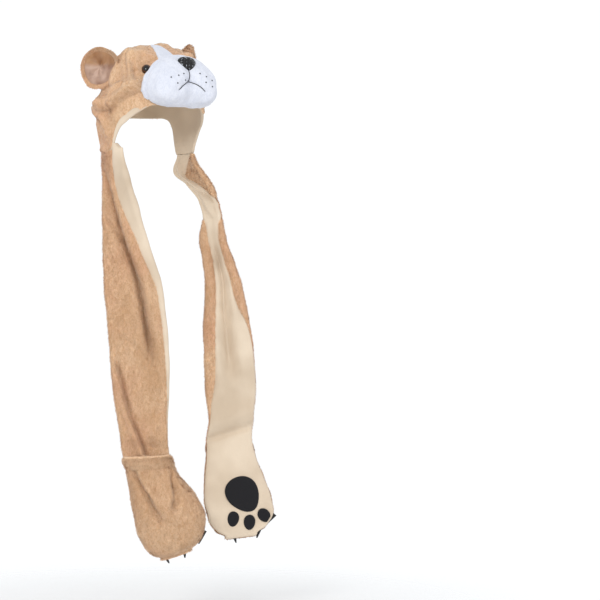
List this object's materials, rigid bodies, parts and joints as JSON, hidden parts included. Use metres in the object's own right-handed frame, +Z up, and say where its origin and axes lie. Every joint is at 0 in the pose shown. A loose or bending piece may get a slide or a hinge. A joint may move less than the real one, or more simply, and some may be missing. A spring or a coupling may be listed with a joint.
{
  "type": "animal hood scarf",
  "caption": "Plush dog-head hood with a fleece lining, stuffed muzzle and ears, whose ear flaps run on into long flat scarf tails that end in mitten paws.",
  "frame": {"origin": "inside of the crown, where the wearer's head bears on the lining", "axes": "+Z up, the face looks along -Y, +X towards the wearer's left"},
  "size_m": [0.2664, 0.2887, 0.8961],
  "materials": {
    "plush": "matte",
    "fleece_lining": "matte",
    "white_plush": "matte",
    "ear_satin": "satin",
    "gloss_black": "gloss",
    "black_felt": "matte"
  },
  "bodies": {
    "root": {"hood_shell": "plush", "right_ear": "plush", "left_ear": "plush", "right_tail": "plush", "left_tail": "plush", "right_paw_pocket": "plush", "left_paw_pocket": "plush", "hood_lining": "fleece_lining", "right_tail_lining": "fleece_lining", "left_tail_lining": "fleece_lining", "muzzle": "white_plush", "blaze": "white_plush", "right_ear_lining": "ear_satin", "left_ear_lining": "ear_satin", "nose": "gloss_black", "right_eye": "gloss_black", "left_eye": "gloss_black", "right_claw_inner": "gloss_black", "right_toe_pad_inner": "black_felt", "right_claw_middle": "gloss_black", "right_toe_pad_middle": "black_felt", "right_claw_outer": "gloss_black", "right_toe_pad_outer": "black_felt", "right_main_pad": "black_felt", "left_claw_inner": "gloss_black", "left_toe_pad_inner": "black_felt", "left_claw_middle": "gloss_black", "left_toe_pad_middle": "black_felt", "left_claw_outer": "gloss_black", "left_toe_pad_outer": "black_felt", "left_main_pad": "black_felt"}
  },
  "joints": []
}
